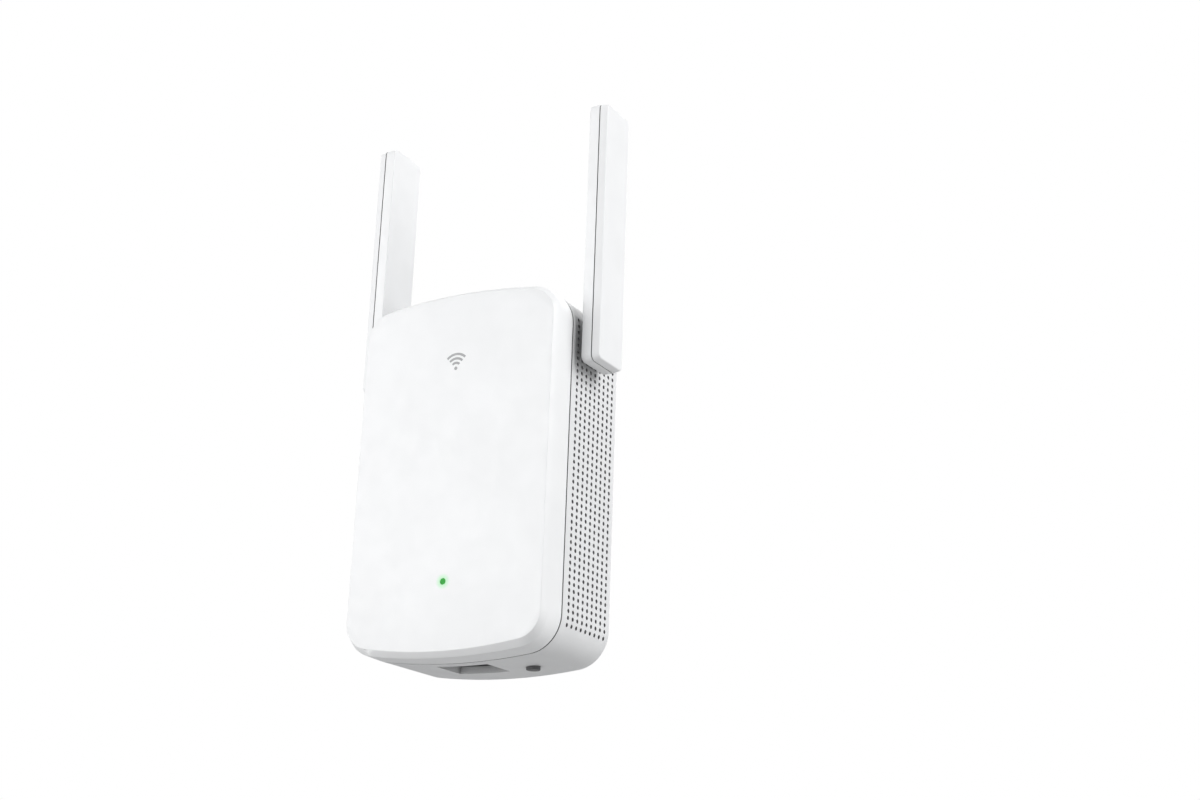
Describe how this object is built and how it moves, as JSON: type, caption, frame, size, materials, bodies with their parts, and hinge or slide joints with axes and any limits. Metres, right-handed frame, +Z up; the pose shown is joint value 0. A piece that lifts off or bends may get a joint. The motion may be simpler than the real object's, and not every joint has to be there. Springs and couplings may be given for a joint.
{
  "type": "wall plug wifi range extender",
  "caption": "Slim wall-plug wifi range extender with a flat front, perforated sides, network port and two hinged bar antennas.",
  "frame": {"origin": "midway between the two plug pins, on the plug's end face", "axes": "+Y along the pins into the wall, +Z up, +X to the right of someone who faces the front"},
  "size_m": [0.0846, 0.075, 0.1721],
  "materials": {
    "white_shell": "fine satin moulded ABS",
    "nickel_pin": "bright nickel plate",
    "steel_screw": "zinc plate",
    "steel_sheet": "tinned sheet",
    "label_film": "satin film",
    "circuit_board": "green solder mask",
    "insulation_film": "polyester film",
    "black_chip": "moulded epoxy",
    "capacitor_sleeve": "shrink sleeve",
    "blue_disc": "dipped coating",
    "fuse_body": "lacquered",
    "ferrite": "ground ferrite",
    "bobbin_plastic": "phenolic",
    "coil_tape": "polyester tape",
    "heat_sink_metal": "clear anodised",
    "thermal_pad": "soft silicone",
    "wire_sleeve": "extruded sleeve",
    "gold_contact": "gold flash",
    "jack_plastic": "moulded nylon",
    "button_plastic": "satin",
    "clear_pipe": "clear acrylic",
    "led_body": "lit green light",
    "crystal_can": "lid",
    "washer_plastic": "acetal"
  },
  "bodies": {
    "housing": {"antenna_sockets": "gold_contact", "board_capacitors": "capacitor_sleeve", "board_leads": "wire_sleeve", "board_screws": "steel_screw", "bridge_rectifier": "black_chip", "bulk_capacitors": "capacitor_sleeve", "crystal": "crystal_can", "ethernet_contacts": "gold_contact", "ethernet_jack": "jack_plastic", "flash_chip": "black_chip", "front_cover": "white_shell", "fuse": "fuse_body", "heat_sink": "heat_sink_metal", "heat_sink_tape": "thermal_pad", "insulation_sheet": "insulation_film", "left_antenna_lead": "wire_sleeve", "left_pivot_washer": "washer_plastic", "light_pipe": "clear_pipe", "line_choke": "black_chip", "main_board": "circuit_board", "memory_chip": "black_chip", "network_transformer": "black_chip", "output_capacitors": "capacitor_sleeve", "output_diode": "black_chip", "plug_base": "white_shell", "plug_base_screws": "steel_screw", "plug_pins": "nickel_pin", "power_board": "circuit_board", "power_inductors": "black_chip", "processor": "black_chip", "radio_chip": "black_chip", "radio_shield_can": "steel_sheet", "rating_label": "label_film", "rear_shell": "white_shell", "right_antenna_lead": "wire_sleeve", "right_pivot_washer": "washer_plastic", "safety_capacitor": "blue_disc", "soc_shield_can": "steel_sheet", "status_light": "led_body", "switch_body": "black_chip", "switching_chip": "black_chip", "thermal_pads": "thermal_pad", "transformer_bobbin": "bobbin_plastic", "transformer_coil": "coil_tape", "transformer_core": "ferrite", "varistor": "blue_disc"},
    "left_antenna": {"left_antenna_inner_shell": "white_shell", "left_antenna_outer_shell": "white_shell", "left_antenna_element": "circuit_board", "left_antenna_cable": "wire_sleeve", "left_pivot_clip": "steel_sheet"},
    "right_antenna": {"right_antenna_inner_shell": "white_shell", "right_antenna_outer_shell": "white_shell", "right_antenna_element": "circuit_board", "right_antenna_cable": "wire_sleeve", "right_pivot_clip": "steel_sheet"},
    "wps_button": {"wps_button": "button_plastic"},
    "switch_plunger": {"switch_plunger": "button_plastic"}
  },
  "joints": [
    {"name": "left_antenna_hinge", "type": "hinge", "parent": "housing", "child": "left_antenna", "pos_m": [0, -0.0371, 0.0173], "axis": [1, 0, 0], "range_deg": [0, 180]},
    {"name": "right_antenna_hinge", "type": "hinge", "parent": "housing", "child": "right_antenna", "pos_m": [0, -0.0371, 0.0173], "axis": [1, 0, 0], "range_deg": [0, 180]},
    {"name": "wps_button_press", "type": "slide", "parent": "housing", "child": "wps_button", "axis": [0, 0, 1], "range_m": [0, 0.00025], "stiffness_N_per_m": 600},
    {"name": "switch_plunger_press", "type": "slide", "parent": "housing", "child": "switch_plunger", "axis": [0, 0, 1], "range_m": [0, 0.00025]}
  ],
  "couplings": [
    {"joint": "switch_plunger_press", "follows": "wps_button_press", "ratio": 1}
  ]
}
